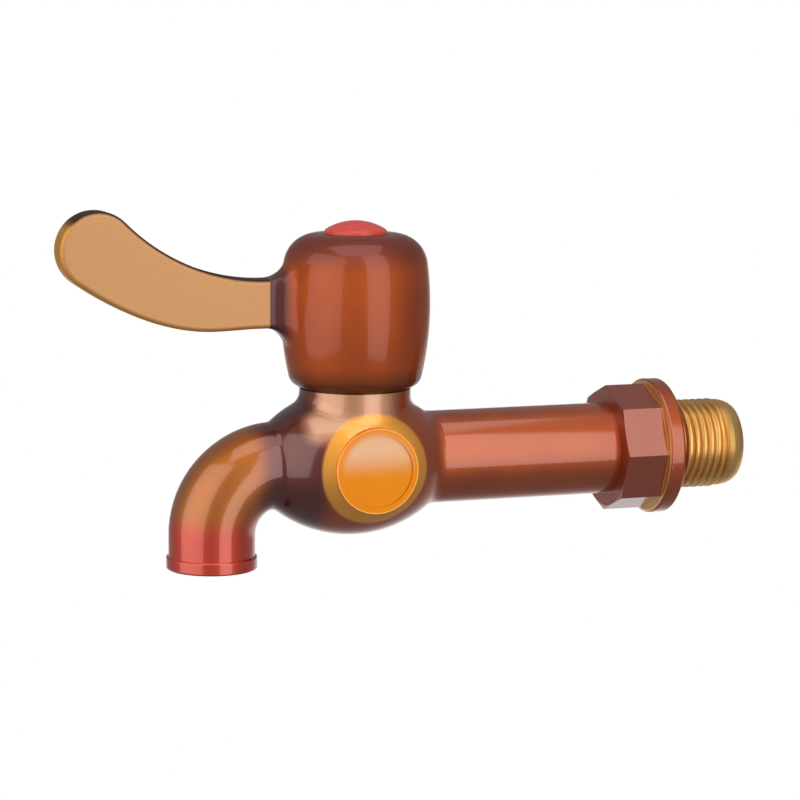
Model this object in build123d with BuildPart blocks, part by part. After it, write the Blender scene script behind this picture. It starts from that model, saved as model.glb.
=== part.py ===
from build123d import *
import os
from math import asin, cos, radians, sin

# Long-body bib tap: a cast body with a round belly, a turned-down spout and a long inlet shank,
# worked by a quarter-turn lever through a ceramic-disc headwork.
# The origin is the centre of the wall flange's back face. +X runs into the wall and +Z is up.
# All sizes are in millimetres.

# Inlet nipple, a G 1/2 pipe thread drawn at its crests
thread_radius = 10.4775
thread_length = 14.6
lead_length = 3.6
lead_drop = 1.9
inlet_bore = 6.0
nipple_collar_lip = 0.3
nipple_collar_length = 2.5
stub_radius = 8.6
stub_length = 9.0
nipple_key_depth = 8.0

# Wall flange, octagon and shank
flange_radius = 15.9
flange_thickness = 4.0
flange_edge = 0.7
octagon_flats = 27.4
octagon_length = 10.2
octagon_bevel = 0.5
shank_radius = 10.7
valve_reach = 76.4

# Belly, neck and side bosses
belly_radius = 16.9
belly_stretch = 1.1
belly_shift = 0.9
belly_blend = 5.0
neck_radius = 12.8
neck_rise = 0.1
neck_blend = 3.4
boss_radius = 9.7
boss_inset = 0.7
boss_rim = 1.4
boss_dish = 0.3

# Spout
spout_radius = 9.85
spout_clear = 16.15
spout_drop = 23.0
elbow_radius = 15.3
elbow_blend = 2.5
elbow_bury = 2.0
spout_wall = 2.8
lip_proud = 0.5
lip_height = 3.0
mouth_wall = 1.8
mouth_depth = 9.0
straightener_height = 4.0
straightener_hole = 0.85
straightener_pitch = 2.35

# Valve chamber
chamber_radius = 10.0
seat_height = 2.5
seat_bore = 5.0
under_seat_drop = 8.0
port_radius = 4.0
port_reach = 15.5
gasket_groove_width = 1.5
gasket_groove_depth = 1.7

# Headwork
seal_thickness = 1.5
seal_width = 1.7
disc_radius = 7.3
disc_thickness = 2.4
disc_core = 2.4
disc_port_radius = 5.4
disc_port_angle = 80.0
disc_tab = 2.4
foot_thickness = 2.0
tongue_width = 4.0
tongue_height = 1.1
washer_thickness = 0.8
sleeve_wall = 1.2
window_width = 8.0
housing_flange_radius = 12.1
housing_flange_thickness = 1.8
housing_hex_flats = 19.0
housing_hex_height = 5.7
gland_radius = 7.0
gland_height = 6.5
stem_radius = 4.0
stop_angle = 30.0
stop_depth = 1.8
quarter_turn = 90.0
o_ring_section = 1.4
o_ring_spacing = 5.0
spline_depth = 0.5
spline_teeth = 20
bush_lift = 2.6
clip_thickness = 0.7
clip_width = 1.9
screw_radius = 2.0
tapped_depth = 11.0

# Handle
barrel_radius = 17.0
barrel_foot_radius = 14.65
barrel_rim_radius = 15.3
barrel_height = 34.6
barrel_swell = 21.6
barrel_shoulder = 7.5
barrel_foot_round = 3.0
barrel_wall = 2.7
barrel_crown = 0.6
roof_thickness = 6.4
hub_radius = 8.8
hub_web = 3.0
bush_flats = 11.0
button_radius = 7.2
button_dome = 2.2
button_edge = 1.0
button_recess = 4.2
button_wall = 1.4
screw_head_radius = 3.5
screw_head_height = 2.0
screw_grip = 9.0
lock_washer_thickness = 0.8

# Lever
lever_drop = 14.95
lever_root = 11.1
lever_thickness = 6.6
lever_edge = 1.1
lever_blend = 6.0
socket_trim = 2.0
lever_tip_reach = 60.8
lever_tip_rise = 12.95
lever_tip_radius = 8.8
lever_dip = 0.3
lever_tang_depth = 2.2
lever_tang_shoulder = 1.6
lever_screw_grip = 8.0

# Clearances
fit_gap = 0.05
seat_gap = 0.1
turn_gap = 0.4
stop_gap = 1.0

os.makedirs("parts", exist_ok=True)

# The belly is a little longer than it is thick; the neck, bosses and spout stand clear of it
belly_half_length = belly_radius + belly_stretch
neck_height = belly_radius + neck_rise
boss_flat = belly_radius - boss_inset
spout_reach = belly_half_length + spout_clear

# Places along the inlet axis
valve_x = -valve_reach
octagon_x = -flange_thickness - octagon_length
spout_x = valve_x - spout_reach
elbow_x = spout_x + elbow_radius
stub_x = -nipple_collar_length - stub_length
flare_x = valve_x - barrel_radius - lever_blend - turn_gap
lever_x = flare_x + socket_trim
valve_axis = Axis((valve_x, 0, 0), (0, 0, 1))
valve_section = Plane((valve_x, 0, 0), x_dir=(1, 0, 0), z_dir=(0, -1, 0))

belly_x = valve_x - belly_shift
belly_rise = belly_radius - shank_radius
belly_curve = (belly_half_length**2 + belly_rise**2) / (2 * belly_rise)
tail_x = elbow_x - elbow_bury
tail_radius = belly_radius - belly_curve + (belly_curve**2 - (tail_x - belly_x) ** 2) ** 0.5

# Heights of the headwork's stack, from the seat up
fixed_disc_z = seat_height + seal_thickness
moving_disc_z = fixed_disc_z + disc_thickness
foot_z = moving_disc_z + disc_thickness
washer_z = foot_z + foot_thickness
ceiling_z = washer_z + washer_thickness
hex_z = neck_height + housing_flange_thickness
gland_z = hex_z + housing_hex_height
gland_top = gland_z + gland_height
clip_z = gland_top + seat_gap
barrel_z = neck_height + turn_gap
barrel_top = barrel_z + barrel_height
recess_z = barrel_top - button_recess
socket_top = recess_z - hub_web
spindle_top = socket_top - turn_gap
spline_z = clip_z + clip_thickness + bush_lift
lever_height = barrel_top - lever_drop
lever_tip_height = lever_height + lever_tip_rise

# Radii that follow from the fits
cavity_radius = barrel_radius - barrel_wall
screw_seat_x = valve_x - cavity_radius - seat_gap
waterway_radius = spout_radius - spout_wall
mouth_radius = spout_radius - mouth_wall
nipple_collar_radius = thread_radius + nipple_collar_lip
housing_thread_radius = chamber_radius - fit_gap
gasket_seat_radius = chamber_radius + gasket_groove_width
disc_bore = disc_radius + seat_gap
sleeve_radius = disc_bore + sleeve_wall
foot_radius = disc_radius - 3 * seat_gap
stem_bore = stem_radius + fit_gap
groove_radius = stem_bore - o_ring_section


def write(piece, name):
    """Labels a finished piece and writes it to its own file."""
    piece.part.label = name
    export_step(piece.part, f"parts/{name}.step")


def level(height):
    """The horizontal plane at a height, centred on the valve axis."""
    return Plane((valve_x, 0, height))


def lever_plane(x, way=1):
    """The upright plane across the lever at x, facing the wall or, with way -1, the lever's tip."""
    return Plane((x, 0, lever_height), x_dir=(0, 1, 0), z_dir=(way, 0, 0))


def sector(inner, outer, middle, width, mode=Mode.ADD):
    """Draws a ring sector in the open sketch, centred on the angle middle."""
    start = middle - width / 2
    with BuildLine() as ring:
        rim = CenterArc((0, 0), outer, start, width)
        hollow = CenterArc((0, 0), inner, start, width)
        Line(rim @ 0, hollow @ 0)
        Line(rim @ 1, hollow @ 1)
    make_face(ring.edges(), mode=mode)


def spline_outline(gap, mode=Mode.ADD):
    """The toothed outline shared by the spindle's end and the bush, larger by gap."""
    points = []
    for step in range(2 * spline_teeth):
        radius = stem_radius + gap - (spline_depth if step % 2 else 0)
        angle = radians(step * 180 / spline_teeth)
        points.append((radius * cos(angle), radius * sin(angle)))
    with BuildLine() as teeth:
        Polyline(*points, close=True)
    make_face(teeth.edges(), mode=mode)


# Octagonal collar, with its corners turned off at the shank side
with BuildPart() as collar:
    with BuildSketch(Plane.YZ.offset(octagon_x)):
        RegularPolygon(octagon_flats / 2, 8, major_radius=False)
    extrude(amount=octagon_length)
    with BuildSketch(Plane.XZ):
        with BuildLine():
            Polyline(
                (octagon_x, 0),
                (octagon_x, octagon_flats / 2),
                (octagon_x + octagon_bevel, flange_radius),
                (-flange_thickness, flange_radius),
                (-flange_thickness, 0),
                close=True,
            )
        make_face()
    revolve(axis=Axis.X, mode=Mode.INTERSECT)

# Tap body: belly, shank, collar, flange, neck and spout in one casting
with BuildPart() as tap_body:
    with BuildSketch(Plane.XZ):
        with BuildLine():
            belly_end = (belly_x + belly_half_length, shank_radius)
            belly_tail = (tail_x, tail_radius)
            ThreePointArc(belly_tail, (belly_x, belly_radius), belly_end)
            Polyline(belly_end, (octagon_x, shank_radius), (octagon_x, 0), (tail_x, 0), belly_tail)
        make_face()
        fillet(vertices().sort_by_distance(belly_end)[0], belly_blend)
    revolve(axis=Axis.X)

    # Spout: a quarter bend and a short drop with a lip
    with BuildSketch(Plane.YZ.offset(elbow_x)):
        Circle(spout_radius)
    revolve(axis=Axis((elbow_x, 0, -elbow_radius), (0, -1, 0)), revolution_arc=90)
    fillet(edges(Select.LAST).filter_by(GeomType.BSPLINE), elbow_blend)
    with BuildSketch(Plane((spout_x, 0, -spout_drop))):
        Circle(spout_radius)
    extrude(amount=spout_drop - elbow_radius)
    with BuildSketch(Plane((spout_x, 0, -spout_drop))):
        Circle(spout_radius + lip_proud)
    extrude(amount=lip_height)
    lip = edges().filter_by(GeomType.CIRCLE)
    lip = lip.filter_by(lambda edge: abs(edge.radius - spout_radius - lip_proud) < 0.01)
    fillet(lip, lip_proud * 0.9)

    # Neck for the headwork
    with BuildSketch(level(0)):
        Circle(neck_radius)
    extrude(amount=neck_height)
    junction = edges(Select.LAST).filter_by(GeomType.LINE, reverse=True)
    junction = junction.filter_by_position(Axis.Z, belly_radius / 3, neck_height - neck_blend / 2)
    fillet(junction, neck_blend)

    # Collar and wall flange
    add(collar.part)
    with BuildSketch(Plane.YZ.offset(-flange_thickness)):
        Circle(flange_radius)
    extrude(amount=flange_thickness)
    rim = edges().filter_by(GeomType.CIRCLE)
    rim = rim.filter_by(lambda edge: abs(edge.radius - flange_radius) < 0.01)
    fillet(rim, flange_edge)

    # Flat round boss on each side of the belly, with a dished face
    with BuildSketch(valve_section):
        Circle(boss_radius)
    extrude(amount=boss_flat, both=True)
    for side in (-1, 1):
        face_plane = Plane((valve_x, side * boss_flat, 0), x_dir=(1, 0, 0), z_dir=(0, side, 0))
        with BuildSketch(face_plane):
            Circle(boss_radius)
        extrude(amount=belly_radius, mode=Mode.SUBTRACT)
        with BuildSketch(face_plane):
            Circle(boss_radius - boss_rim)
        extrude(amount=-boss_dish, mode=Mode.SUBTRACT)

    # Valve chamber, seat bore and the gasket's seat in the neck's mouth
    with BuildSketch(level(seat_height)):
        Circle(chamber_radius)
    extrude(amount=neck_height, mode=Mode.SUBTRACT)
    with BuildSketch(level(neck_height - gasket_groove_depth)):
        Circle(gasket_seat_radius)
    extrude(amount=gasket_groove_depth, mode=Mode.SUBTRACT)
    with BuildSketch(level(-under_seat_drop)):
        Circle(seat_bore)
    extrude(amount=under_seat_drop + seat_height, mode=Mode.SUBTRACT)
    with Locations((valve_x, 0, -under_seat_drop)):
        Sphere(seat_bore + 0.4, mode=Mode.SUBTRACT)

    # Inlet waterway: the nipple's socket, the shank bore and the passage under the seat
    with BuildSketch(Plane.YZ.offset(-nipple_collar_length)):
        Circle(nipple_collar_radius + fit_gap)
    extrude(amount=nipple_collar_length, mode=Mode.SUBTRACT)
    with BuildSketch(Plane.YZ.offset(stub_x)):
        Circle(stub_radius + fit_gap)
    extrude(amount=stub_length, mode=Mode.SUBTRACT)
    bore_end = valve_x + belly_half_length + inlet_bore
    with BuildSketch(Plane.YZ.offset(bore_end)):
        Circle(inlet_bore)
    extrude(amount=stub_x - bore_end, mode=Mode.SUBTRACT)
    fall = Vector(valve_x - bore_end, 0, -under_seat_drop)
    with BuildSketch(Plane((bore_end, 0, 0), x_dir=(0, 1, 0), z_dir=fall)):
        Circle(seat_bore)
    extrude(amount=fall.length, mode=Mode.SUBTRACT)
    with Locations((bore_end, 0, 0)):
        Sphere(inlet_bore, mode=Mode.SUBTRACT)

    # Outlet waterway: the port beside the seat, the bend and the mouth
    outlet_x = valve_x - chamber_radius - 2.5
    port_start = (valve_x - chamber_radius + 1, 0, seat_height + port_radius)
    with BuildSketch(Plane(port_start, x_dir=(0, 1, 0), z_dir=(-1, 0, 0))):
        Circle(port_radius)
    extrude(amount=port_reach - chamber_radius + 1, mode=Mode.SUBTRACT)
    with BuildSketch(Plane.YZ.offset(elbow_x)):
        Circle(waterway_radius)
    extrude(amount=outlet_x - elbow_x, mode=Mode.SUBTRACT)
    with BuildSketch(Plane.YZ.offset(elbow_x)):
        Circle(waterway_radius)
    revolve(axis=Axis((elbow_x, 0, -elbow_radius), (0, -1, 0)), revolution_arc=90, mode=Mode.SUBTRACT)
    with BuildSketch(Plane((spout_x, 0, -spout_drop))):
        Circle(waterway_radius)
    extrude(amount=spout_drop - elbow_radius, mode=Mode.SUBTRACT)
    with BuildSketch(Plane((spout_x, 0, -spout_drop))):
        Circle(mouth_radius)
    extrude(amount=mouth_depth, mode=Mode.SUBTRACT)

# Flow straightener: a drilled plug seated on the shoulder inside the spout's mouth
with BuildPart() as flow_straightener:
    with BuildSketch(Plane((spout_x, 0, mouth_depth - spout_drop - straightener_height))):
        Circle(mouth_radius - fit_gap)
        with HexLocations(straightener_pitch / 2, 5, 5):
            Circle(straightener_hole, mode=Mode.SUBTRACT)
    extrude(amount=straightener_height)

# Inlet nipple: a flush collar, a stub held in the shank and the threaded end with a hexagon for its key
with BuildPart() as inlet_nipple:
    with BuildSketch(Plane.XZ):
        with BuildLine():
            Polyline(
                (stub_x, inlet_bore),
                (stub_x, stub_radius),
                (-nipple_collar_length, stub_radius),
                (-nipple_collar_length, nipple_collar_radius),
                (0, nipple_collar_radius),
                (0, thread_radius),
                (thread_length, thread_radius),
                (thread_length + lead_length, thread_radius - lead_drop),
                (thread_length + lead_length, inlet_bore),
                close=True,
            )
        make_face()
        with Locations((stub_x + stub_length / 2, stub_radius - o_ring_section / 2)):
            Rectangle(o_ring_section + 0.4, o_ring_section, mode=Mode.SUBTRACT)
    revolve(axis=Axis.X)
    with BuildSketch(Plane.YZ.offset(thread_length + lead_length)):
        RegularPolygon(inlet_bore, 6, major_radius=False)
    extrude(amount=-nipple_key_depth, mode=Mode.SUBTRACT)

# O-ring in the stub's groove
with BuildPart() as nipple_o_ring:
    with BuildSketch(Plane.XZ):
        with Locations((stub_x + stub_length / 2, stub_radius + fit_gap - o_ring_section / 2)):
            Circle(o_ring_section / 2 - fit_gap / 2)
    revolve(axis=Axis.X)

# Headwork housing: sleeve for the discs, threaded shoulder, flange, hexagon and gland
sleeve_z = seat_height + 3 * seat_gap
window_z = moving_disc_z + seat_gap
with BuildPart() as headwork_housing:
    with BuildSketch(valve_section):
        with BuildLine():
            Polyline(
                (stem_bore, ceiling_z),
                (disc_bore, ceiling_z),
                (disc_bore, sleeve_z),
                (sleeve_radius, sleeve_z),
                (sleeve_radius, washer_z),
                (housing_thread_radius, washer_z),
                (housing_thread_radius, neck_height),
                (housing_flange_radius, neck_height),
                (housing_flange_radius, hex_z),
                (gland_radius, hex_z),
                (gland_radius, gland_top),
                (stem_bore, gland_top),
                close=True,
            )
        make_face()
    revolve(axis=valve_axis)
    with BuildSketch(level(hex_z)):
        RegularPolygon(housing_hex_flats / 2, 6, major_radius=False)
        Circle(stem_radius + gland_radius / 3, mode=Mode.SUBTRACT)
    extrude(amount=housing_hex_height)
    with BuildSketch(level(window_z)):
        Rectangle(window_width, 3 * sleeve_radius)
        Rectangle(window_width, disc_bore, mode=Mode.SUBTRACT)
    extrude(amount=washer_z - window_z - seat_gap, mode=Mode.SUBTRACT)
    with BuildSketch(level(sleeve_z)):
        Rectangle(3 * sleeve_radius, disc_tab + 2 * seat_gap)
    extrude(amount=moving_disc_z - sleeve_z, mode=Mode.SUBTRACT)
    with BuildSketch(level(foot_z + seat_gap)):
        sector(disc_bore - stop_depth, disc_bore + sleeve_wall / 2, 180, stop_angle)
    extrude(amount=foot_thickness - 2 * seat_gap)

# O-ring under the housing's flange
with BuildPart() as housing_o_ring:
    with BuildSketch(valve_section):
        gasket_middle = (housing_thread_radius + gasket_seat_radius) / 2
        with Locations((gasket_middle, neck_height - gasket_groove_depth / 2)):
            Circle(gasket_groove_width / 2)
    revolve(axis=valve_axis)

# Seat seal, squeezed between the body's seat and the fixed disc
with BuildPart() as seat_seal:
    with BuildSketch(level(seat_height)):
        Circle(disc_radius - seat_gap)
        Circle(disc_radius - seat_gap - seal_width, mode=Mode.SUBTRACT)
    extrude(amount=seal_thickness)

# Fixed ceramic disc: two ports, and two tabs that stop it turning in the sleeve
with BuildPart() as fixed_disc:
    with BuildSketch(level(fixed_disc_z)):
        Circle(disc_radius)
        Rectangle(2 * sleeve_radius, disc_tab)
        for middle in (90, 270):
            sector(disc_core, disc_port_radius, middle, disc_port_angle, Mode.SUBTRACT)
    extrude(amount=disc_thickness)

# Moving ceramic disc: its two wings cover the ports at rest; a slot on top takes the spindle's tongue
with BuildPart() as moving_disc:
    with BuildSketch(level(moving_disc_z)):
        Circle(disc_radius - seat_gap)
        for middle in (0, 180):
            sector(disc_core, disc_radius + 1, middle, disc_port_angle, Mode.SUBTRACT)
    extrude(amount=disc_thickness)
    with BuildSketch(level(foot_z)):
        Rectangle(tongue_width + 2 * seat_gap, 3 * disc_radius)
    extrude(amount=-tongue_height - seat_gap, mode=Mode.SUBTRACT)

# Thrust washer between the spindle's foot and the housing
with BuildPart() as thrust_washer:
    with BuildSketch(level(washer_z)):
        Circle(foot_radius)
        Circle(stem_bore + seat_gap, mode=Mode.SUBTRACT)
    extrude(amount=washer_thickness)

# Spindle: tongue, stopped foot, grooved stem and toothed end with a tapped hole
lower_groove_z = ceiling_z + 2.5 * o_ring_section
upper_groove_z = lower_groove_z + o_ring_spacing
with BuildPart() as spindle:
    with BuildSketch(valve_section):
        with BuildLine():
            Polyline(
                (0, foot_z),
                (foot_radius, foot_z),
                (foot_radius, washer_z),
                (stem_radius, washer_z),
                (stem_radius, spline_z),
                (0, spline_z),
                close=True,
            )
        make_face()
        for groove_z in (lower_groove_z, upper_groove_z):
            with Locations((groove_radius, groove_z)):
                Rectangle(
                    o_ring_section,
                    o_ring_section + 0.4,
                    align=(Align.MIN, Align.CENTER),
                    mode=Mode.SUBTRACT,
                )
        with Locations((stem_radius, clip_z - seat_gap / 2)):
            Rectangle(
                clip_width / 2,
                clip_thickness + seat_gap,
                align=(Align.MAX, Align.MIN),
                mode=Mode.SUBTRACT,
            )
    revolve(axis=valve_axis)
    with BuildSketch(level(foot_z)):
        Rectangle(tongue_width, 2 * (foot_radius - seal_width))
    extrude(amount=-tongue_height)
    with BuildSketch(level(foot_z)):
        notch = stop_angle + quarter_turn + 2 * stop_gap
        sector(disc_bore - stop_depth - 2 * seat_gap, disc_radius + 1, 180 - quarter_turn / 2, notch)
    extrude(amount=foot_thickness, mode=Mode.SUBTRACT)
    with BuildSketch(level(spline_z)):
        spline_outline(0)
    extrude(amount=spindle_top - spline_z)
    with BuildSketch(level(spindle_top)):
        Circle(screw_radius + fit_gap)
    extrude(amount=-tapped_depth, mode=Mode.SUBTRACT)

# O-rings in the stem's two grooves
with BuildPart() as spindle_o_ring_lower:
    with BuildSketch(valve_section):
        with Locations((groove_radius + o_ring_section / 2, lower_groove_z)):
            Circle(o_ring_section / 2 - fit_gap / 2)
    revolve(axis=valve_axis)
with BuildPart() as spindle_o_ring_upper:
    with BuildSketch(valve_section):
        with Locations((groove_radius + o_ring_section / 2, upper_groove_z)):
            Circle(o_ring_section / 2 - fit_gap / 2)
    revolve(axis=valve_axis)

# Spring clip that keeps the spindle in the housing
with BuildPart() as spindle_clip:
    with BuildSketch(level(clip_z)):
        sector(stem_radius - clip_width / 2 + fit_gap, stem_radius + clip_width, 0, 310)
    extrude(amount=clip_thickness)

# Spline bush between the spindle and the handle
with BuildPart() as spline_bush:
    with BuildSketch(level(spline_z + seat_gap)):
        RegularPolygon(bush_flats / 2, 6, major_radius=False)
        spline_outline(fit_gap, Mode.SUBTRACT)
    extrude(amount=socket_top - spline_z - seat_gap)

# Handle barrel: a hollow turned cap with a hub inside and a flared socket for the lever
cavity_top = barrel_top - roof_thickness
with BuildPart() as handle_barrel:
    with BuildSketch(valve_section):
        with BuildLine():
            foot = (barrel_foot_radius, barrel_z)
            corner = (barrel_rim_radius, barrel_top)
            ThreePointArc(foot, (barrel_radius, barrel_z + barrel_swell), corner)
            Polyline(corner, (0, barrel_top + barrel_crown), (0, barrel_z), foot)
        make_face()
        fillet(vertices().sort_by_distance(corner)[0], barrel_shoulder)
        fillet(vertices().sort_by_distance(foot)[0], barrel_foot_round)
    revolve(axis=valve_axis)
    with BuildSketch(lever_plane(flare_x)):
        RectangleRounded(lever_thickness, lever_root, lever_edge)
    extrude(amount=lever_blend + barrel_wall)
    flare = edges(Select.LAST).filter_by_position(Axis.X, flare_x + lever_blend / 2, valve_x)
    flare = flare.filter_by(GeomType.LINE, reverse=True)
    fillet(flare, lever_blend)
    with BuildSketch(lever_plane(flare_x)):
        Rectangle(2 * lever_thickness, 2 * lever_root)
    extrude(amount=socket_trim, mode=Mode.SUBTRACT)
    with BuildSketch(valve_section):
        with BuildLine():
            Polyline(
                (0, barrel_z),
                (housing_flange_radius + turn_gap, barrel_z),
                (cavity_radius, barrel_z + barrel_height / 3),
                (cavity_radius, cavity_top),
                (hub_radius, cavity_top),
                (hub_radius, spline_z + seat_gap),
                (0, spline_z + seat_gap),
                close=True,
            )
        make_face()
    revolve(axis=valve_axis, mode=Mode.SUBTRACT)
    with BuildSketch(level(spline_z)):
        RegularPolygon(bush_flats / 2 + fit_gap, 6, major_radius=False)
    extrude(amount=socket_top - spline_z, mode=Mode.SUBTRACT)
    with BuildSketch(level(recess_z)):
        Circle(button_radius + fit_gap)
    extrude(amount=barrel_height, mode=Mode.SUBTRACT)
    with BuildSketch(level(socket_top)):
        Circle(screw_radius + turn_gap)
    extrude(amount=hub_web, mode=Mode.SUBTRACT)
    with BuildSketch(lever_plane(lever_x)):
        Rectangle(
            lever_thickness - 2 * lever_tang_shoulder + 2 * fit_gap,
            lever_root - 2 * lever_tang_shoulder + 2 * fit_gap,
        )
    extrude(amount=lever_tang_depth + fit_gap, mode=Mode.SUBTRACT)
    with BuildSketch(lever_plane(lever_x)):
        Circle(screw_radius + turn_gap)
    extrude(amount=screw_seat_x - lever_x + 1, mode=Mode.SUBTRACT)
    with BuildSketch(lever_plane(screw_seat_x)):
        Circle(screw_head_radius + turn_gap)
    extrude(amount=screw_head_height + 1, mode=Mode.SUBTRACT)

# Lever blade: a flat paddle that rises to a round tip, with a tang in the barrel's socket
tip = Vector(-lever_tip_reach, lever_tip_height)
root_x = flare_x - valve_x
seam_x = lever_x - valve_x
upper_leave = tip + Vector(lever_tip_radius, 0).rotate(Axis.Z, 45)
lower_leave = tip + Vector(lever_tip_radius, 0).rotate(Axis.Z, 235)
root_top = Vector(root_x, lever_height + lever_root / 2)
root_bottom = Vector(root_x, lever_height - lever_root / 2)
dip = Vector((root_x * 2 + lower_leave.X) / 3 + 2, root_bottom.Y - lever_dip)
with BuildPart() as lever_blade:
    with BuildSketch(valve_section):
        with BuildLine():
            TangentArc(upper_leave, root_top, tangent=Vector(1, 0).rotate(Axis.Z, -45))
            ThreePointArc(upper_leave, tip + Vector(lever_tip_radius, 0).rotate(Axis.Z, 140), lower_leave)
            Spline(
                lower_leave,
                dip,
                root_bottom,
                tangents=(Vector(1, 0).rotate(Axis.Z, -35), Vector(1, 0)),
            )
            Polyline(
                root_bottom,
                (seam_x, root_bottom.Y),
                (seam_x, root_top.Y),
                root_top,
            )
        make_face()
    extrude(amount=lever_thickness / 2, both=True)
    sides = edges().filter_by_position(Axis.X, valve_x - 2 * lever_tip_reach, lever_x - lever_edge)
    sides = sides.filter_by(GeomType.LINE, reverse=True)
    fillet(sides, lever_edge)
    with BuildSketch(lever_plane(lever_x)):
        Rectangle(lever_thickness - 2 * lever_tang_shoulder, lever_root - 2 * lever_tang_shoulder)
    extrude(amount=lever_tang_depth)
    with BuildSketch(lever_plane(lever_x + lever_tang_depth, -1)):
        Circle(screw_radius + fit_gap)
    extrude(amount=lever_tang_depth + lever_screw_grip + 1, mode=Mode.SUBTRACT)

# Screw that holds the lever, driven outwards from inside the barrel
with BuildPart() as lever_screw:
    with BuildSketch(lever_plane(screw_seat_x, -1)):
        Circle(screw_radius)
    extrude(amount=screw_seat_x - lever_x + lever_screw_grip)
    with BuildSketch(lever_plane(screw_seat_x)):
        Circle(screw_head_radius)
    extrude(amount=screw_head_height)
    fillet(faces().sort_by(Axis.X)[-1].edges(), screw_head_height / 4)
    with BuildSketch(lever_plane(screw_seat_x + screw_head_height, -1)):
        RegularPolygon(screw_radius * 0.62, 6, major_radius=False)
    extrude(amount=screw_head_height * 0.6, mode=Mode.SUBTRACT)

# Screw that holds the handle on the spindle, with its lock washer
with BuildPart() as lock_washer:
    with BuildSketch(level(recess_z)):
        Circle(screw_head_radius)
        Circle(screw_radius + 2 * seat_gap, mode=Mode.SUBTRACT)
    extrude(amount=lock_washer_thickness)
with BuildPart() as handle_screw:
    with BuildSketch(level(recess_z + lock_washer_thickness)):
        Circle(screw_radius)
    extrude(amount=spindle_top - screw_grip - recess_z - lock_washer_thickness)
    with BuildSketch(level(recess_z + lock_washer_thickness)):
        Circle(screw_head_radius)
    extrude(amount=screw_head_height)
    fillet(faces().sort_by(Axis.Z)[-1].edges(), screw_head_height / 4)
    with BuildSketch(level(recess_z + lock_washer_thickness + screw_head_height)):
        RegularPolygon(screw_radius * 0.62, 6, major_radius=False)
    extrude(amount=-screw_head_height * 0.6, mode=Mode.SUBTRACT)

# Index button: a red domed cap pressed into the top of the barrel over the screw
button_rim_z = barrel_top + button_edge
dome_radius = (button_radius**2 + button_dome**2) / (2 * button_dome)
half_way = asin(button_radius / dome_radius) / 2
with BuildPart() as index_button:
    with BuildSketch(valve_section):
        with BuildLine():
            dome_z = button_rim_z + button_dome - dome_radius
            Polyline(
                (0, button_rim_z + button_dome),
                (0, button_rim_z - button_wall),
                (button_radius - button_wall, button_rim_z - button_wall),
                (button_radius - button_wall, recess_z + lock_washer_thickness),
                (button_radius, recess_z + lock_washer_thickness),
                (button_radius, button_rim_z),
            )
            ThreePointArc(
                (button_radius, button_rim_z),
                (dome_radius * sin(half_way), dome_z + dome_radius * cos(half_way)),
                (0, button_rim_z + button_dome),
            )
        make_face()
        fillet(vertices().sort_by_distance((button_radius, button_rim_z))[0], button_edge)
    revolve(axis=valve_axis)

write(tap_body, "tap_body")
write(flow_straightener, "flow_straightener")
write(inlet_nipple, "inlet_nipple")
write(nipple_o_ring, "nipple_o_ring")
write(headwork_housing, "headwork_housing")
write(housing_o_ring, "housing_o_ring")
write(seat_seal, "seat_seal")
write(fixed_disc, "fixed_disc")
write(moving_disc, "moving_disc")
write(thrust_washer, "thrust_washer")
write(spindle, "spindle")
write(spindle_o_ring_lower, "spindle_o_ring_lower")
write(spindle_o_ring_upper, "spindle_o_ring_upper")
write(spindle_clip, "spindle_clip")
write(spline_bush, "spline_bush")
write(handle_barrel, "handle_barrel")
write(lever_blade, "lever_blade")
write(lever_screw, "lever_screw")
write(lock_washer, "lock_washer")
write(handle_screw, "handle_screw")
write(index_button, "index_button")
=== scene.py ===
# %% [markdown]
# A long-body bib tap, dressed for the camera.
# The imported CAD model comes in first as a fixed frame, in metres, with its origin at the centre of the
# wall flange's back face. One could model the tap again here, but then two shapes would have to agree.
# So the CAD solids stay, and this file only adds finishes, one threaded nipple, light and a camera.

# %% Load the frame
import math
import bpy
from mathutils import Matrix, Vector


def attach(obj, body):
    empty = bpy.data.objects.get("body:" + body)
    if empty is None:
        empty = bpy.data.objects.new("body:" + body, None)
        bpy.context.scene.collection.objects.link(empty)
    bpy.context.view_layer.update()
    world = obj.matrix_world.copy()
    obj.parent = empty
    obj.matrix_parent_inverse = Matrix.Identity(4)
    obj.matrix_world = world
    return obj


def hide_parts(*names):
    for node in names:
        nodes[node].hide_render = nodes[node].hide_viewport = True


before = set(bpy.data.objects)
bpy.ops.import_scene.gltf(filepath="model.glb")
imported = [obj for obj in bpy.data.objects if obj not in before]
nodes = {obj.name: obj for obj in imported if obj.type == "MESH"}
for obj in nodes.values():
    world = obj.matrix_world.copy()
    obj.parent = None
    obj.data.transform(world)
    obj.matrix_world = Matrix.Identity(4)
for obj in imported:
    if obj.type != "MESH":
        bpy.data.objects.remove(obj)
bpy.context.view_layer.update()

# %% [markdown]
# Two small helpers serve every finish. Colours are written as the sRGB hex values that a paint chart
# would give, while Blender's shaders want linear light, so one function converts them. The other adds a
# node, sets its properties, and either fills or links its inputs. Each node could take four or five
# lines without it; with it, a material reads from top to bottom like a recipe.

# %% Colour and node helpers
def linear(hex_colour):
    """An sRGB hex colour as linear red, green, blue and alpha."""
    parts = [int(hex_colour[i : i + 2], 16) / 255 for i in (0, 2, 4)]
    flat = [p / 12.92 if p <= 0.04045 else ((p + 0.055) / 1.055) ** 2.4 for p in parts]
    return (*flat, 1.0)


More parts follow.
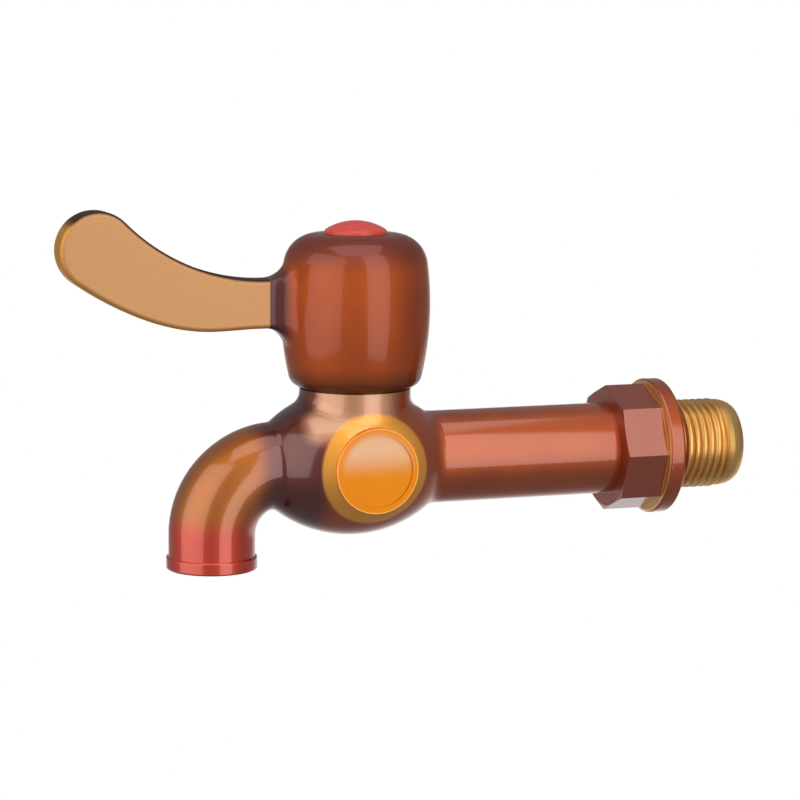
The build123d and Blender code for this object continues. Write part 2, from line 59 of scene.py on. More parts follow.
def add(tree, kind, inputs=None, **settings):
    """Adds one node with its settings; an input given as a socket is linked, any other is set."""
    node = tree.nodes.new(kind)
    for name, value in settings.items():
        setattr(node, name, value)
    for key, value in (inputs or {}).items():
        if isinstance(value, bpy.types.NodeSocket):
            tree.links.new(value, node.inputs[key])
        else:
            node.inputs[key].default_value = value
    return node


print("tan of the lever in linear light:", [round(c, 3) for c in linear("DAA672")])

# %% [markdown]
# Every finish starts the same way: an empty tree, and the piece's own Object coordinates turned into
# millimetres. A pattern could also be laid out on a UV map, but a cast body has no natural way to be
# unrolled. In millimetres, each pattern's size is a number that could be measured on the real tap.

# %% Start of a finish
def begin(name):
    """A new material, its empty tree, and the place on the piece in millimetres."""
    finish = bpy.data.materials.new(name)
    finish.use_nodes = True
    tree = finish.node_tree
    tree.nodes.clear()
    place = add(tree, "ShaderNodeTexCoord").outputs["Object"]
    scaled = add(tree, "ShaderNodeVectorMath", {0: place, "Scale": 1000.0}, operation="SCALE")
    return finish, tree, scaled.outputs[0]


print("finishes are laid out in millimetres")

# %% [markdown]
# The body and the handle are taken to be brass castings, plated with red copper under clear lacquer. In
# the photograph the copper isn't one colour: it is golden on the belly's front, tan on the elbow, redder
# towards the outlet, and plum in the hollows. The tan of the elbow, the peach of the neck and the boss's
# pale top are painted reflections; the plum of the hollow and of the handle's socket, and the handle's
# darker foot and shoulder, are painted shade. The rest is drawn as part of the finish. It could be painted
# by hand on a texture. Written as a list it stays readable: each place has a colour, and the slopes that
# bound it. A slope names a measure, the place in millimetres where the tone begins, and the place where it
# is full.
# The measures are x along the body, z upwards, side for the distance from the middle plane, and reach
# for the distance from the valve's centre, seen from the side.

# %% Toned places of the copper, painted light and shade among them
VALVE_X = -76.4
BODY_TONES_AND_PAINTED_LIGHT = [
    # Painted reflection: a tan tone on the elbow
    ("painted elbow reflection", "BC6C2A", [("x", -99, -103)]),
    ("red outlet", "D64830", [("z", -9, -15), ("x", -98, -101)]),
    # Painted shade: plum darkening in the hollow between the elbow and the belly
    ("painted hollow shade", "6E362F", [("x", -104, -98), ("x", -84, -90)]),
    ("dark octagon", "A8543A", [("x", -14.4, -14.0), ("x", -3.8, -4.2)]),
    # Painted reflection: peach on the neck's top and sides, where the soft boxes mirror
    ("painted neck reflection", "D69E76", [("z", 5, 9), ("side", 5, 8), ("x", -93, -89), ("x", -69, -73)]),
    ("golden belly", "FFAE40", [("reach", 13.0, 12.2), ("side", 5, 9)]),
    ("orange boss", "DE8620", [("reach", 9.8, 9.3), ("side", 14, 15)]),
    # Painted highlight: the boss is paler on its upper half
    ("painted boss highlight", "E0B18A", [("reach", 9.6, 7), ("z", -2, 5), ("side", 14, 15)]),
    ("bare brass step", "F0C070", [("x", -4.15, -4.05), ("x", -3.85, -3.95)]),
]
# Painted shade on the handle: plum at the lever's socket, and darker copper towards the foot and the
# shoulder
HANDLE_PAINTED_SHADE = [
    ("painted socket shade", "6A3C3A", [("x", -92.5, -95)]),
    ("painted foot shade", "7A3F20", [("z", 24, 18)]),
    ("painted shoulder shade", "8E4434", [("z", 44, 50)]),
]
# The boss shows no highlight in the photograph, so the lacquer is left off there
BARE_PLACE = "orange boss"
print("toned places:", len(BODY_TONES_AND_PAINTED_LIGHT), "on the body and", len(HANDLE_PAINTED_SHADE), "on the handle")

# %% [markdown]
# Under the eye this finish has two layers. The satin plate below gives a soft copper glow, and the
# lacquer above adds crisp, nearly colourless shapes of the soft boxes. One shader can give both: its
# metal part is satin, and its clear coat is smooth. Lacquer has an index near 1.5; 1.6 is used, because
# that gives the highlights more of the strength they have in the photograph. The handle's bands are
# fainter there than the body's, so the handle's metal is duller and its lacquer thinner. The tones are
# laid over each other in a loop: one Map Range node for each slope, one Mix node for each tone.

# %% Lacquered red copper
def copper_plate(name, tones, lacquer, dull):
    """Toned copper plate with painted light among the tones; lacquer is 1 for a full clear coat, dull is
    the metal's lowest roughness.
    """
    finish, tree, place = begin(name)
    axes = add(tree, "ShaderNodeSeparateXYZ", {0: place}).outputs
    side = add(tree, "ShaderNodeMath", {0: axes[1]}, operation="ABSOLUTE")
    valve = add(tree, "ShaderNodeVectorMath", {0: place, 1: (-VALVE_X, 0, 0)}, operation="ADD")
    flat = add(tree, "ShaderNodeVectorMath", {0: valve.outputs[0], 1: (1, 0, 1)}, operation="MULTIPLY")
    reach = add(tree, "ShaderNodeVectorMath", {0: flat.outputs[0]}, operation="LENGTH")
    measures = {"x": axes[0], "z": axes[2], "side": side.outputs[0], "reach": reach.outputs["Value"]}
    # Clouds about 12 mm across keep the plate from being one flat colour
    clouds = add(tree, "ShaderNodeTexNoise", {"Vector": place, "Scale": 1 / 12, "Detail": 2.0})
    colour = add(
        tree,
        "ShaderNodeMix",
        {0: clouds.outputs[0], 6: linear("AC4A20"), 7: linear("C8622C")},
        data_type="RGBA",
    )
    coat = lacquer
    for title, tone, slopes in tones:
        share = 1.0
        for measure, start, full in slopes:
            slope = add(
                tree,
                "ShaderNodeMapRange",
                {"Value": measures[measure], "From Min": start, "From Max": full},
                interpolation_type="SMOOTHSTEP",
            )
            common = add(tree, "ShaderNodeMath", {0: slope.outputs[0], 1: share}, operation="MULTIPLY")
            share = common.outputs[0]
        colour = add(
            tree,
            "ShaderNodeMix",
            {0: share, 6: colour.outputs[2], 7: linear(tone)},
            data_type="RGBA",
            label=title,
        )
        if title == BARE_PLACE:
            thinned = add(
                tree, "ShaderNodeMapRange", {"Value": share, "To Min": lacquer, "To Max": 0.0}
            )
            coat = thinned.outputs[0]
    # Soft waves of hand polishing, about 5 mm apart and a hundredth of a millimetre deep
    waves = add(tree, "ShaderNodeTexNoise", {"Vector": place, "Scale": 1 / 5, "Detail": 1.0})
    relief = add(
        tree, "ShaderNodeBump", {"Strength": 0.25, "Distance": 0.00004, "Height": waves.outputs[0]}
    )
    dullness = add(
        tree, "ShaderNodeMapRange", {"Value": clouds.outputs[0], "To Min": dull, "To Max": dull + 0.08}
    )
    shader = add(
        tree,
        "ShaderNodeBsdfPrincipled",
        {
            "Base Color": colour.outputs[2],
            "Metallic": 1.0,
            "Roughness": dullness.outputs[0],
            "Normal": relief.outputs[0],
            "Coat Weight": coat,
            "Coat Roughness": 0.1,
            "Coat IOR": 1.6,
        },
    )
    add(tree, "ShaderNodeOutputMaterial", {"Surface": shader.outputs[0]})
    return finish


body_copper = copper_plate("lacquered_red_copper_casting", BODY_TONES_AND_PAINTED_LIGHT, 1.0, 0.44)
handle_copper = copper_plate("lacquered_red_copper_handle", HANDLE_PAINTED_SHADE, 0.45, 0.58)
print("made", body_copper.name, "and", handle_copper.name)

# %% [markdown]
# The lever looks satin in the photograph: an even warm tan, as from brushing along its length without
# a shiny lacquer. Its rounded edges carry painted shade along the top and a painted golden reflection
# along the bottom.
# A stretched noise gives the lines of the brush. On a brushed blade they are a few hundredths of a
# millimetre apart; they are drawn 0.2 mm apart, because finer ones would not show. Top and bottom are
# told apart by the blade's own bow: a parabola runs along its middle, and the height above it has a sign.

# %% Satin brushed lever
# The parabola's lowest point, and its rise for each square millimetre
BOW_X, BOW_Z, BOW_RISE = -99.8, 36.9, 0.00937
# How far from the middle plane the edge's painted light starts and is full, in millimetres
EDGE_START, EDGE_FULL = 3.28, 2.95


def satin_lever():
    """Brushed copper plate with painted shade along the top edge and a painted reflection along the bottom
    edge.
    """
    finish, tree, place = begin("brushed_satin_copper")
    lines = add(tree, "ShaderNodeMapping", {"Vector": place, "Scale": (0.25, 5.0, 5.0)})
    grain = add(tree, "ShaderNodeTexNoise", {"Vector": lines.outputs[0], "Scale": 1.0, "Detail": 3.0})
    colour = add(
        tree,
        "ShaderNodeMix",
        {0: grain.outputs[0], 6: linear("CE9764"), 7: linear("DAA672")},
        data_type="RGBA",
    )
    axes = add(tree, "ShaderNodeSeparateXYZ", {0: place}).outputs
    side = add(tree, "ShaderNodeMath", {0: axes[1]}, operation="ABSOLUTE")
    edge = add(
        tree,
        "ShaderNodeMapRange",
        {"Value": side.outputs[0], "From Min": EDGE_START, "From Max": EDGE_FULL},
    )
    out = add(tree, "ShaderNodeMath", {0: axes[0], 1: BOW_X}, operation="SUBTRACT")
    square = add(tree, "ShaderNodeMath", {0: out.outputs[0], 1: 2.0}, operation="POWER")
    bow = add(
        tree, "ShaderNodeMath", {0: square.outputs[0], 1: BOW_RISE, 2: BOW_Z}, operation="MULTIPLY_ADD"
    )
    above = add(tree, "ShaderNodeMath", {0: axes[2], 1: bow.outputs[0]}, operation="SUBTRACT")
    upper = add(
        tree,
        "ShaderNodeMapRange",
        {"Value": above.outputs[0], "From Min": -1.0, "From Max": 3.0},
        interpolation_type="SMOOTHSTEP",
    )
    # Painted light on the rounded edges: dark painted shade above the bow, a golden painted reflection
    # below it
    toned = add(
        tree,
        "ShaderNodeMix",
        {0: upper.outputs[0], 6: linear("D2953F"), 7: linear("4A2C22")},
        data_type="RGBA",
    )
    colour = add(
        tree,
        "ShaderNodeMix",
        {0: edge.outputs[0], 6: colour.outputs[2], 7: toned.outputs[2]},
        data_type="RGBA",
    )
    relief = add(
        tree, "ShaderNodeBump", {"Strength": 0.12, "Distance": 0.00002, "Height": grain.outputs[0]}
    )
    dullness = add(
        tree, "ShaderNodeMapRange", {"Value": grain.outputs[0], "To Min": 0.48, "To Max": 0.62}
    )
    shader = add(
        tree,
        "ShaderNodeBsdfPrincipled",
        {
            "Base Color": colour.outputs[2],
            "Metallic": 0.75,
            "Roughness": dullness.outputs[0],
            "Normal": relief.outputs[0],
        },
    )
    add(tree, "ShaderNodeOutputMaterial", {"Surface": shader.outputs[0]})
    return finish


lever_finish = satin_lever()
print("made", lever_finish.name)

# %% [markdown]
# Bare brass shows on the nipple, and inside on the headwork. It is taken as turned on a lathe: faint rings
# run round the axis that it turned on, and its shine is a little broken. The bump could come from modelled
# grooves, but they are far too fine, so a Wave texture draws them. They are about 0.1 mm apart on real
# brass and are drawn 0.5 mm apart so that they show. In the photograph the nipple's root is red-brown,
# so copper is drawn onto it as far as an x in millimetres. The headwork's brass is painted dark, as
# painted shade, because the gap below the handle, where a line of it shows, is dark in the photograph.

# %% Turned brass
RING_STEP = 0.5
WAVE_TURNS = 20


def turned_brass(name, axis, clean, stained, plated_to):
    """Lathe-turned brass with rings along the axis it turned on, and copper plate as far as an x."""
    finish, tree, place = begin(name)
    # A Wave texture repeats 20 / 2 pi times for each unit of its scale
    rings = add(
        tree,
        "ShaderNodeTexWave",
        {"Vector": place, "Scale": 2 * math.pi / WAVE_TURNS / RING_STEP, "Distortion": 1.5},
        bands_direction=axis,
    )
    stain = add(tree, "ShaderNodeTexNoise", {"Vector": place, "Scale": 1 / 6, "Detail": 3.0})
    colour = add(
        tree,
        "ShaderNodeMix",
        {0: stain.outputs[0], 6: linear(clean), 7: linear(stained)},
        data_type="RGBA",
    )
    along = add(tree, "ShaderNodeSeparateXYZ", {0: place}).outputs[0]
    plate = add(
        tree,
        "ShaderNodeMapRange",
        {"Value": along, "From Min": plated_to + 0.3, "From Max": plated_to - 0.3},
    )
    colour = add(
        tree,
        "ShaderNodeMix",
        {0: plate.outputs[0], 6: colour.outputs[2], 7: linear("9A4A2C")},
        data_type="RGBA",
    )
    dullness = add(
        tree, "ShaderNodeMapRange", {"Value": rings.outputs["Fac"], "To Min": 0.3, "To Max": 0.42}
    )
    relief = add(
        tree, "ShaderNodeBump", {"Strength": 0.15, "Distance": 0.00002, "Height": rings.outputs["Fac"]}
    )
    shader = add(
        tree,
        "ShaderNodeBsdfPrincipled",
        {
            "Base Color": colour.outputs[2],
            "Metallic": 1.0,
            "Roughness": dullness.outputs[0],
            "Normal": relief.outputs[0],
        },
    )
    add(tree, "ShaderNodeOutputMaterial", {"Surface": shader.outputs[0]})
    return finish


nipple_brass = turned_brass("turned_brass", "X", "FFD68C", "D49A50", 2.4)
# Painted shade: the headwork's brass is drawn dark for the gap below the handle
headwork_brass_painted_shade = turned_brass("painted_shade_turned_brass", "Z", "6A4A28", "453019", -200)
print("made", nipple_brass.name, "and", headwork_brass_painted_shade.name)

# %% [markdown]
# The small pieces share one plain way: a moulded, pressed or ground surface with a fine grain in its
# colour, its roughness and its relief. Only the red index button is in plain sight; the others are seen
# through the spout's mouth, in the nipple's bore, or when the handle comes off. Each could have a tree
# of its own, but the same grain at another size and depth already tells plastic from rubber and steel.

# %% Small pieces' finishes
def fine_grain(name, dark, light, grain_mm, rough, metallic=0.0, depth=0.00001):
    """A finish with an even fine grain; grain_mm is the width of a grain in millimetres."""
    finish, tree, place = begin(name)
    grain = add(tree, "ShaderNodeTexNoise", {"Vector": place, "Scale": 1 / grain_mm, "Detail": 2.0})
    colour = add(
        tree,
        "ShaderNodeMix",
        {0: grain.outputs[0], 6: linear(dark), 7: linear(light)},
        data_type="RGBA",
    )
    dullness = add(
        tree,
        "ShaderNodeMapRange",
        {"Value": grain.outputs[0], "To Min": rough - 0.05, "To Max": rough + 0.05},
    )
    relief = add(
        tree, "ShaderNodeBump", {"Strength": 0.3, "Distance": depth, "Height": grain.outputs[0]}
    )
    shader = add(
        tree,
        "ShaderNodeBsdfPrincipled",
        {
            "Base Color": colour.outputs[2],
            "Metallic": metallic,
            "Roughness": dullness.outputs[0],
            "Normal": relief.outputs[0],
        },
    )
    add(tree, "ShaderNodeOutputMaterial", {"Surface": shader.outputs[0]})
    return finish


# ABS, moulded: an even, slightly waxy red
red_abs = fine_grain("moulded_red_abs", "CA4034", "DE564A", 0.8, 0.34)
# Acetal, moulded: dull, a little chalky, white or grey
white_acetal = fine_grain("moulded_white_acetal", "E0DDD4", "F4F2EC", 0.6, 0.45)
grey_acetal = fine_grain("moulded_grey_acetal", "6A6D71", "828589", 0.6, 0.45)
# Alumina, lapped flat: hard, pale and nearly mirror smooth
alumina = fine_grain("lapped_alumina", "E6E3DC", "F6F4EE", 0.3, 0.15, depth=0.000002)
# Stainless steel, cold formed: grey with a fine broken shine
stainless = fine_grain("cold_formed_stainless", "94969A", "BABCBE", 0.5, 0.3, metallic=1.0)
# Nitrile rubber, moulded: near black and matt
nitrile = fine_grain("moulded_nitrile", "19191A", "2B2B2C", 0.4, 0.7)
print("made six finishes for the small pieces")

# %% [markdown]
# Now the finishes go onto the CAD nodes. Going by each node's material slot in the record would be
# shorter, but one slot serves the body and the handle, which have their own toned places. So a plain
# list says which piece has which finish, and the printed count shows that no node was left out.

# %% Finishes onto the CAD nodes
dressed = {
    body_copper: ["tap_body"],
    handle_copper: ["handle_barrel"],
    lever_finish: ["lever_blade"],
    nipple_brass: ["inlet_nipple"],
    headwork_brass_painted_shade: ["headwork_housing", "spindle"],
    red_abs: ["index_button"],
    grey_acetal: ["flow_straightener"],
    white_acetal: ["thrust_washer", "spline_bush"],
    alumina: ["fixed_disc", "moving_disc"],
    stainless: ["spindle_clip", "lever_screw", "handle_screw", "lock_washer"],
    nitrile: [
        "nipple_o_ring",
        "housing_o_ring",
        "seat_seal",
        "spindle_o_ring_lower",
        "spindle_o_ring_upper",
    ],
}
for finish, names in dressed.items():
    for name in names:
        nodes[name].data.materials.clear()
        nodes[name].data.materials.append(finish)
print("dressed", sum(len(names) for names in dressed.values()), "of", len(nodes), "nodes")

# %% [markdown]
# The nipple is taken to carry a G 1/2 pipe thread: 14 threads to the inch, so a pitch of 1.814 mm, on a
# crest diameter of 20.955 mm. In the CAD it is a plain cylinder at the crests. The core below the thread
# is lathe work, which a Screw modifier could spin from a profile. Rings of points along the axis do the
# same here, because some of them have to be hexagons, where the fitter's key goes in.

# %% Nipple core
PITCH = 1.814
CREST = 10.4775
DEPTH = 1.162
ROOT = CREST - DEPTH
SIDES = 96
# Each ring's place along the axis, its radius, and whether it is a hexagon
CORE_RINGS = [
    (-11.5, 8.6, False),
    (-8.0, 8.6, False),
    (-2.5, 8.6, False),
    (-2.5, 10.77, False),
    (0.0, 10.77, False),
    (0.0, ROOT, False),
    (13.3, ROOT, False),
    (14.0, 10.25, False),
    (15.2, 10.2, False),
    (16.3, 9.95, False),
    (17.2, 9.55, False),
    (17.9, 9.05, False),
    (18.2, 8.5, False),
    (18.2, 6.0, True),
    (10.2, 6.0, True),
    (10.2, 6.0, False),
    (-11.5, 6.0, False),
]


def ring_point(x, radius, hexagon, index):
    """A point of a ring round the X axis; a hexagon ring has radius as half its width across flats."""
    angle = 2 * math.pi * index / SIDES
    if hexagon:
        radius /= math.cos((angle + math.pi / 6) % (math.pi / 3) - math.pi / 6)
    return (x / 1000, radius * math.cos(angle) / 1000, radius * math.sin(angle) / 1000)


core_points = []
for x, radius, hexagon in CORE_RINGS:
    core_points += [ring_point(x, radius, hexagon, i) for i in range(SIDES)]
core_faces = []
for r in range(len(CORE_RINGS)):
    below, above = r * SIDES, (r + 1) % len(CORE_RINGS) * SIDES
    for i in range(SIDES):
        after = (i + 1) % SIDES
        core_faces.append((below + after, below + i, above + i, above + after))
core_mesh = bpy.data.meshes.new("nipple_core")
core_mesh.from_pydata(core_points, [], core_faces)
nipple = bpy.data.objects.new("threaded_nipple", core_mesh)
bpy.context.scene.collection.objects.link(nipple)
print("nipple core:", len(core_points), "points")

# %% [markdown]
# A thread is a ridge that follows a helix. It could be a bump on the cylinder, but then its outline
# would stay straight. Geometry Nodes make it in three steps: a spiral curve gives the path, a small
# trapezoid gives the section, and Curve to Mesh sweeps one along the other. The helix comes out
# upright, so it is laid along X before it joins the core.

# %% Thread as a node tree
# The ridge's width at its foot and at its crest, as shares of the pitch
FOOT_SHARE, CREST_SHARE = 0.92, 0.18
STEPS_PER_TURN = 72


def thread_tree(finish):
    """A node tree that joins a swept helix to the core it is given."""
    tree = bpy.data.node_groups.new("pipe_thread", "GeometryNodeTree")
    face = tree.interface
    face.new_socket("Geometry", in_out="OUTPUT", socket_type="NodeSocketGeometry")
    face.new_socket("Geometry", in_out="INPUT", socket_type="NodeSocketGeometry")
    for title in ("Pitch", "Turns", "Root Radius", "Depth", "Start"):
        face.new_socket(title, in_out="INPUT", socket_type="NodeSocketFloat")
    given = add(tree, "NodeGroupInput").outputs
    height = add(tree, "ShaderNodeMath", {0: given["Pitch"], 1: given["Turns"]}, operation="MULTIPLY")
    path = add(
        tree,
        "GeometryNodeCurveSpiral",
        {
            "Resolution": STEPS_PER_TURN,
            "Rotations": given["Turns"],
            "Start Radius": given["Root Radius"],
            "End Radius": given["Root Radius"],
            "Height": height.outputs[0],
        },
    )
    upright = add(tree, "GeometryNodeSetCurveNormal", {"Curve": path.outputs[0]}, mode="Z_UP")
    wide = add(tree, "ShaderNodeMath", {0: given["Pitch"], 1: FOOT_SHARE}, operation="MULTIPLY")
    narrow = add(tree, "ShaderNodeMath", {0: given["Pitch"], 1: CREST_SHARE}, operation="MULTIPLY")
    tall = add(tree, "ShaderNodeMath", {0: given["Depth"], 1: 2.0}, operation="MULTIPLY")
    section = add(
        tree,
        "GeometryNodeCurvePrimitiveQuadrilateral",
        {
            "Height": tall.outputs[0],
            "Bottom Width": wide.outputs[0],
            "Top Width": narrow.outputs[0],
            "Offset": 0.0,
        },
        mode="TRAPEZOID",
    )
    turned = add(
        tree,
        "GeometryNodeTransform",
        {"Geometry": section.outputs[0], "Rotation": (0.0, 0.0, math.pi / 2)},
    )
    ridge = add(
        tree,
        "GeometryNodeCurveToMesh",
        {"Curve": upright.outputs[0], "Profile Curve": turned.outputs[0], "Fill Caps": True},
    )
    start = add(tree, "ShaderNodeCombineXYZ", {0: given["Start"]})
    laid = add(
        tree,
        "GeometryNodeTransform",
        {
            "Geometry": ridge.outputs[0],
            "Translation": start.outputs[0],
            "Rotation": (0.0, math.pi / 2, 0.0),
        },
    )
    joined = add(tree, "GeometryNodeJoinGeometry")
    tree.links.new(given["Geometry"], joined.inputs[0])
    tree.links.new(laid.outputs[0], joined.inputs[0])
    real = add(tree, "GeometryNodeRealizeInstances", {"Geometry": joined.outputs[0]})
    clad = add(tree, "GeometryNodeSetMaterial", {"Geometry": real.outputs[0], "Material": finish})
    add(tree, "NodeGroupOutput", {0: clad.outputs[0]})
    return tree


pipe_thread = thread_tree(nipple_brass)
cutter = nipple.modifiers.new("thread", "NODES")
cutter.node_group = pipe_thread
sizes = {
    "Pitch": PITCH / 1000,
    "Turns": 6.6,
    "Root Radius": ROOT / 1000,
    "Depth": DEPTH / 1000,
    "Start": 0.0011,
}
for socket in pipe_thread.interface.items_tree:
    if socket.in_out == "INPUT" and socket.name in sizes:
        cutter[socket.identifier] = sizes[socket.name]
print("thread inputs:", sizes)

# %% [markdown]
# On the real tap the nipple is one turned piece, and the export wants plain meshes too. The modifier
# could be applied with an operator, but that depends on what is selected. So the evaluated nipple is
# copied to a mesh and the modifier goes. Past the collar, the largest distance from the axis shows whether
# the ridges stand outwards, at the crest radius. The new piece takes the plain CAD nipple's place.

# %% Threaded nipple as a plain mesh
depsgraph = bpy.context.evaluated_depsgraph_get()
threaded = bpy.data.meshes.new_from_object(nipple.evaluated_get(depsgraph))
nipple.modifiers.clear()
nipple.data = threaded
past_collar = [v.co for v in threaded.vertices if v.co.x > sizes["Start"]]
farthest = max(math.hypot(place.y, place.z) for place in past_collar) * 1000
span = [round(f(v.co.x for v in threaded.vertices) * 1000, 2) for f in (min, max)]
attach(nipple, "tap")
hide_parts("inlet_nipple")
print("threaded nipple:", len(threaded.polygons), "faces, farthest", round(farthest, 3), "mm, x", span)

# %% [markdown]
# The camera stands where the photograph's did: 20 degrees round to the left, a little above, with a
# long lens. It could be aimed by eye, but its place came from fitting the tap's outline to the picture,
# so the numbers are fitted ones. A constraint could aim it; a plain matrix is easier to check.

# %% Camera
AZIMUTH, ELEVATION, ROLL = math.radians(-19.977), math.radians(8.381), math.radians(0.423)
DISTANCE = 0.735632
AIM_RIGHT, AIM_UP = 0.010322, 0.013925
PIXELS_PER_MM = 4.359
PICTURE_PIXELS = 800
SENSOR_MM = 36.0
back = Vector(
    (
        math.sin(AZIMUTH) * math.cos(ELEVATION),
        -math.cos(AZIMUTH) * math.cos(ELEVATION),
        math.sin(ELEVATION),
    )
)
level_right = Vector((math.cos(AZIMUTH), math.sin(AZIMUTH), 0.0))
level_up = back.cross(level_right)
aim = Vector((VALVE_X / 1000, 0, 0)) + level_right * AIM_RIGHT + level_up * AIM_UP
right = level_right * math.cos(ROLL) + level_up * math.sin(ROLL)
up = level_up * math.cos(ROLL) - level_right * math.sin(ROLL)
lens = bpy.data.cameras.new("camera")
lens.sensor_width = SENSOR_MM
lens.lens = SENSOR_MM * PIXELS_PER_MM * DISTANCE * 1000 / PICTURE_PIXELS
camera = bpy.data.objects.new("camera", lens)
turned = Matrix((right, up, back)).transposed().to_4x4()
camera.matrix_world = Matrix.Translation(aim + back * DISTANCE) @ turned
bpy.context.scene.collection.objects.link(camera)
bpy.context.scene.camera = camera
print("camera at", [round(c, 4) for c in camera.matrix_world.translation], "lens", round(lens.lens, 1))

# %% [markdown]
# The tap hangs in the air, as it would from a wall, over a pale table that sweeps up behind it.
# A plain white world would be simpler, but polished copper would then be white from below. The table is
# graduated, as product photographers use it: white from 0.42 m behind the tap, and the room's grey under
# and in front of it. The white is no wider than the picture needs, so that the metal's edges mirror grey
# and stay dark. The paint's own colour makes the white background, and the metal's reflections see the
# same table that the camera sees. Close to the tap up to half of its real shading stays, which keeps a
# soft shadow. Farther off it takes the room's own grey, so that no edge of the table shows.

# %% Table paint
ROOM_GREY = linear("8E8E90")
TABLE_Z = -0.24
# Where the white starts and is full: behind the tap, then aside and upwards, all in metres
BEHIND = (0.05, 0.42)
ASIDE = (0.8, 0.42)
UPWARDS = (TABLE_Z + 0.48, TABLE_Z + 0.34)


def table_paint():
    """White paint behind the tap that turns to the room's grey in front, high up and aside."""
    finish = bpy.data.materials.new("graduated_table_paint")
    finish.use_nodes = True
    tree = finish.node_tree
    tree.nodes.clear()
    place = add(tree, "ShaderNodeTexCoord").outputs["Object"]
    depth = add(tree, "ShaderNodeVectorMath", {0: place, 1: tuple(away)}, operation="DOT_PRODUCT")
    behind = add(
        tree,
        "ShaderNodeMapRange",
        {"Value": depth.outputs["Value"], "From Min": BEHIND[0], "From Max": BEHIND[1]},
        interpolation_type="SMOOTHSTEP",
    )
    height = add(tree, "ShaderNodeSeparateXYZ", {0: place}).outputs[2]
    low = add(
        tree,
        "ShaderNodeMapRange",
        {"Value": height, "From Min": UPWARDS[0], "From Max": UPWARDS[1]},
        interpolation_type="SMOOTHSTEP",
    )
    across = add(
        tree, "ShaderNodeVectorMath", {0: place, 1: tuple(level_right)}, operation="DOT_PRODUCT"
    )
    across = add(tree, "ShaderNodeMath", {0: across.outputs["Value"]}, operation="ABSOLUTE")
    middle = add(
        tree,
        "ShaderNodeMapRange",
        {"Value": across.outputs[0], "From Min": ASIDE[0], "From Max": ASIDE[1]},
        interpolation_type="SMOOTHSTEP",
    )
    white = add(
        tree, "ShaderNodeMath", {0: behind.outputs[0], 1: low.outputs[0]}, operation="MULTIPLY"
    )
    white = add(
        tree, "ShaderNodeMath", {0: white.outputs[0], 1: middle.outputs[0]}, operation="MULTIPLY"
    )
    colour = add(
        tree,
        "ShaderNodeMix",
        {0: white.outputs[0], 6: ROOM_GREY, 7: linear("FFFFFF")},
        data_type="RGBA",
    )
    ray = add(tree, "ShaderNodeLightPath").outputs
    seen = add(
        tree,
        "ShaderNodeMath",
        {0: ray["Is Camera Ray"], 1: ray["Is Glossy Ray"]},
        operation="MAXIMUM",
    )
    seen = add(
        tree,
        "ShaderNodeMath",
        {0: seen.outputs[0], 1: ray["Is Transmission Ray"]},
        operation="MAXIMUM",
    )
    # Up to half of the real shading stays near the tap, none from 0.5 m off or where the table is white
    reach = add(tree, "ShaderNodeVectorMath", {0: place}, operation="LENGTH")
    far = add(
        tree, "ShaderNodeMapRange", {"Value": reach.outputs["Value"], "From Min": 0.2, "From Max": 0.5}
    )
    plain = add(tree, "ShaderNodeMath", {0: far.outputs[0], 1: behind.outputs[0]}, operation="MAXIMUM")
    flatness = add(
        tree, "ShaderNodeMapRange", {"Value": plain.outputs[0], "To Min": 0.5, "To Max": 1.0}
    )
    share = add(
        tree, "ShaderNodeMath", {0: seen.outputs[0], 1: flatness.outputs[0]}, operation="MULTIPLY"
    )
    paint = add(tree, "ShaderNodeBsdfDiffuse", {"Color": colour.outputs[2]})
    glow = add(tree, "ShaderNodeEmission", {"Color": colour.outputs[2], "Strength": 1.0})
    mixed = add(
        tree, "ShaderNodeMixShader", {0: share.outputs[0], 1: paint.outputs[0], 2: glow.outputs[0]}
    )
    add(tree, "ShaderNodeOutputMaterial", {"Surface": mixed.outputs[0]})
    return finish


away = Vector((-back.x, -back.y, 0)).normalized()
paint = table_paint()
print("made", paint.name)

# %% [markdown]
# The table itself is one strip: flat, then bent upwards far behind the tap, so that no edge shows
# behind it. A plane with a Bevel could give the bend; a list of places along the strip is as short.

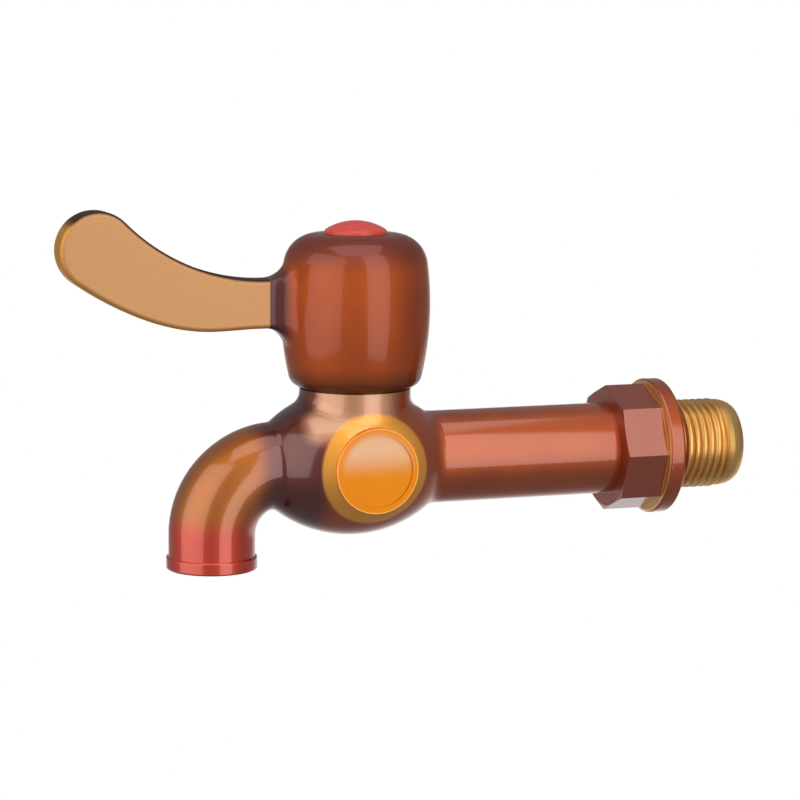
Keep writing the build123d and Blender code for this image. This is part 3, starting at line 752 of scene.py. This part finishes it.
# %% Table and sweep
HALF_TABLE = 4.0
BEND_START, BEND_RADIUS = 1.2, 0.6
BEND_STEP, BEND_PLACES = 0.09, 15
sweep_line = [(-HALF_TABLE, 0.0)]
for i in range(BEND_PLACES):
    angle = i * BEND_STEP
    sweep_line.append(
        (BEND_START + BEND_RADIUS * math.sin(angle), BEND_RADIUS - BEND_RADIUS * math.cos(angle))
    )
table_points = []
for reach, lift in sweep_line:
    for side in (-HALF_TABLE, HALF_TABLE):
        spot = Vector((VALVE_X / 1000, 0, TABLE_Z + lift)) + away * reach + level_right * side
        table_points.append(tuple(spot))
table_faces = [(2 * i, 2 * i + 1, 2 * i + 3, 2 * i + 2) for i in range(len(sweep_line) - 1)]
table_mesh = bpy.data.meshes.new("table")
table_mesh.from_pydata(table_points, [], table_faces)
table_mesh.polygons.foreach_set("use_smooth", [True] * len(table_faces))
table_mesh.materials.append(paint)
table = bpy.data.objects.new("table", table_mesh)
bpy.context.scene.collection.objects.link(table)
print("table:", len(table_faces), "panels")

# %% [markdown]
# Three large soft boxes light it: left, right front and above. A sun or a point lamp would leave hard
# sparks on the lacquer. A polished barrel shows its lamps as bands, so the boxes stand where the bands
# should be: each band lies halfway round between the camera and its lamp. The room between them is a
# plain grey, so the copper keeps a warm dark strip there.

# %% Soft boxes and room
LIT_POINT = Vector((VALVE_X / 1000, 0, 0.01))
# Name, azimuth and elevation in degrees, then distance, width and height in metres, and power in watts
SOFT_BOXES = [
    ("soft_box_right", 17, 14, 0.55, 0.36, 1.0, 2.1),
    ("soft_box_left", -72, 12, 0.6, 0.78, 1.0, 3.2),
    ("soft_box_top", -10, 80, 1.1, 1.0, 0.9, 4.0),
]


def soft_box(name, azimuth, elevation, distance, width, height, power):
    """A rectangular area lamp that faces the tap from a direction given in degrees."""
    a, e = math.radians(azimuth), math.radians(elevation)
    towards = Vector((math.sin(a) * math.cos(e), -math.cos(a) * math.cos(e), math.sin(e)))
    lamp = bpy.data.lights.new(name, "AREA")
    lamp.shape = "RECTANGLE"
    lamp.size = width
    lamp.size_y = height
    lamp.energy = power
    box = bpy.data.objects.new(name, lamp)
    box.location = LIT_POINT + towards * distance
    box.rotation_mode = "QUATERNION"
    box.rotation_quaternion = towards.to_track_quat("Z", "Y")
    box.visible_camera = False
    bpy.context.scene.collection.objects.link(box)
    return box


for row in SOFT_BOXES:
    soft_box(*row)
world = bpy.data.worlds.new("room")
world.use_nodes = True
world.node_tree.nodes["Background"].inputs["Color"].default_value = ROOM_GREY
bpy.context.scene.world = world
bpy.context.scene.view_settings.view_transform = "Standard"
print(len(SOFT_BOXES), "soft boxes and a grey room")
